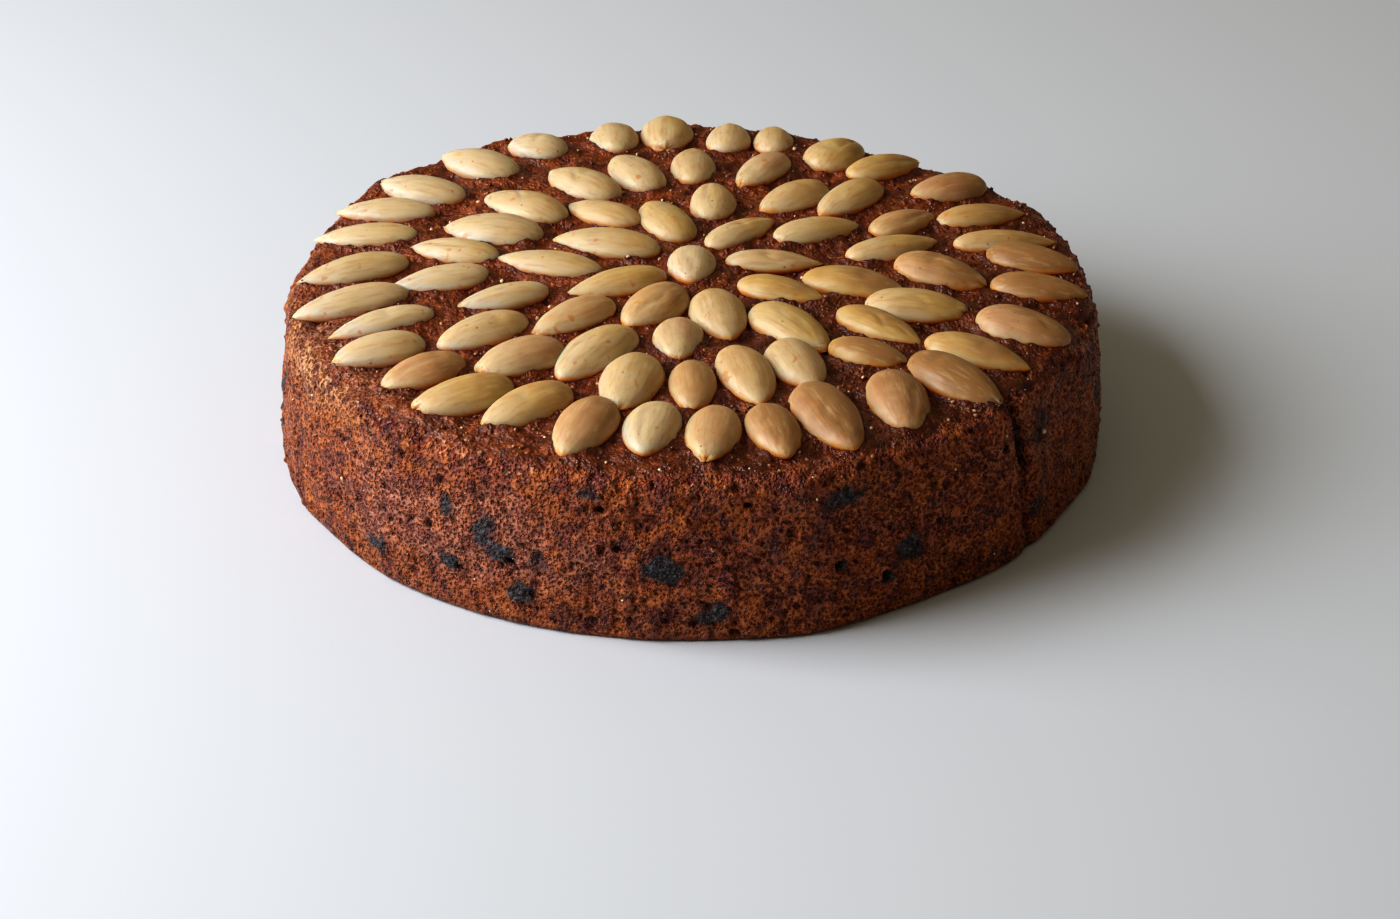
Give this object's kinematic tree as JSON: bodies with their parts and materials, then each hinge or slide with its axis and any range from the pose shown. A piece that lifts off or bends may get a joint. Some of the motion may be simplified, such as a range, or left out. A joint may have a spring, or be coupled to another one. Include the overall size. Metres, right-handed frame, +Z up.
{
  "type": "dundee cake",
  "caption": "Round uncut rich fruit cake with a dark crumbly side and concentric rings of whole blanched almonds pressed into its slightly domed top.",
  "frame": {"origin": "middle of the flat underside, on the surface that the cake rests on", "axes": "+Z up through the middle of the domed top; -Y is the side seen in the picture, with the fold in the side to the right of it; the rings of almonds run round +Z"},
  "size_m": [0.2032, 0.2026, 0.0489],
  "materials": {
    "crumb": "coarse open crumb, reddish brown with darker pits and dried fruit in the side; darker crust on top",
    "almond": "satin cream skinless nut with faint lengthwise ridges, toasted to tan in places"
  },
  "bodies": {
    "root": {"cake_body": "crumb", "almond_centre_01": "almond", "almond_inner_01": "almond", "almond_inner_02": "almond", "almond_inner_04": "almond", "almond_inner_05": "almond", "almond_inner_06": "almond", "almond_inner_07": "almond", "almond_inner_08": "almond", "almond_outer_03": "almond", "almond_outer_04": "almond", "almond_outer_07": "almond", "almond_outer_08": "almond", "almond_outer_09": "almond", "almond_outer_10": "almond", "almond_outer_11": "almond", "almond_outer_12": "almond", "almond_outer_13": "almond", "almond_outer_14": "almond", "almond_outer_15": "almond", "almond_outer_16": "almond", "almond_outer_18": "almond", "almond_outer_19": "almond", "almond_outer_20": "almond", "almond_outer_24": "almond", "almond_outer_25": "almond", "almond_outer_26": "almond", "almond_outer_28": "almond", "almond_outer_31": "almond", "almond_outer_32": "almond", "almond_second_01": "almond", "almond_second_02": "almond", "almond_second_03": "almond", "almond_second_06": "almond", "almond_second_07": "almond", "almond_second_08": "almond", "almond_second_09": "almond", "almond_second_10": "almond", "almond_second_11": "almond", "almond_second_14": "almond", "almond_second_15": "almond", "almond_second_19": "almond", "almond_second_20": "almond", "almond_second_22": "almond", "almond_third_01": "almond", "almond_third_02": "almond", "almond_third_05": "almond", "almond_third_06": "almond", "almonds_outer_01_outer_02": "almond", "almonds_outer_05_outer_06": "almond", "almonds_outer_17_second_13": "almond", "almonds_outer_21_outer_22": "almond", "almonds_outer_23_second_18": "almond", "almonds_outer_27_second_21_third_07": "almond", "almonds_outer_29_outer_30": "almond", "almonds_second_04_second_05": "almond", "almonds_second_12_third_04": "almond", "almonds_second_16_second_17": "almond", "almonds_second_23_second_24_third_08": "almond", "almonds_third_03_inner_03": "almond"}
  },
  "joints": []
}
